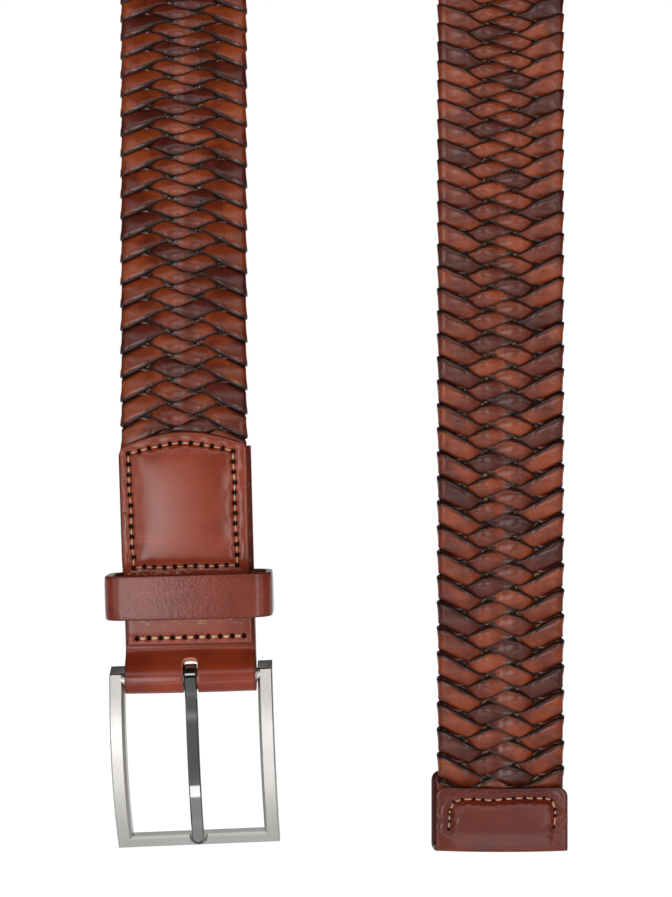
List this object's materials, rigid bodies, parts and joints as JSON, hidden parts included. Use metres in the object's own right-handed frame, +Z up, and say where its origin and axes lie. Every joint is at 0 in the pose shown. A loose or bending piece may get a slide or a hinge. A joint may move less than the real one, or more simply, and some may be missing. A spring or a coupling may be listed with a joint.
{
  "type": "braided leather belt",
  "caption": "Flat braided leather belt with a bowed pin buckle, a keeper loop and a sewn tip cap, shown hanging by its middle",
  "frame": {"origin": "inner top of the bend, where the belt lies over a peg", "axes": "+Z up, against gravity as the belt hangs; -Y towards the viewer, the way the front faces of both hanging ends look; +X from the buckle end to the tip end"},
  "size_m": [0.1282, 0.0358, 0.5243],
  "materials": {
    "braid_leather": "glossy reddish-brown strip with dark burnished edges",
    "tab_leather": "glossy reddish-brown leather",
    "thread": "beige waxed sewing thread",
    "core_cloth": "beige speckled woven core",
    "brushed_nickel": "brushed satin nickel",
    "polished_steel": "mirror polish"
  },
  "bodies": {
    "strap": {"braided_strap": "braid_leather", "buckle_fold": "tab_leather", "front_patch": "tab_leather", "keeper_loop": "tab_leather", "tip_cap": "tab_leather"},
    "frame": {"buckle_frame": "brushed_nickel"},
    "prong": {"prong": "polished_steel"}
  },
  "joints": [
    {"name": "frame_hinge", "type": "hinge", "parent": "strap", "child": "frame", "pos_m": [-0.04183, -0.0008, -0.47167], "axis": [-0.9991, 0.0016, -0.0418], "range_deg": [-100, 40]},
    {"name": "prong_hinge", "type": "hinge", "parent": "frame", "child": "prong", "pos_m": [-0.04183, -0.0008, -0.47167], "axis": [-0.9991, 0.0016, -0.0418], "range_deg": [0, 64]}
  ]
}
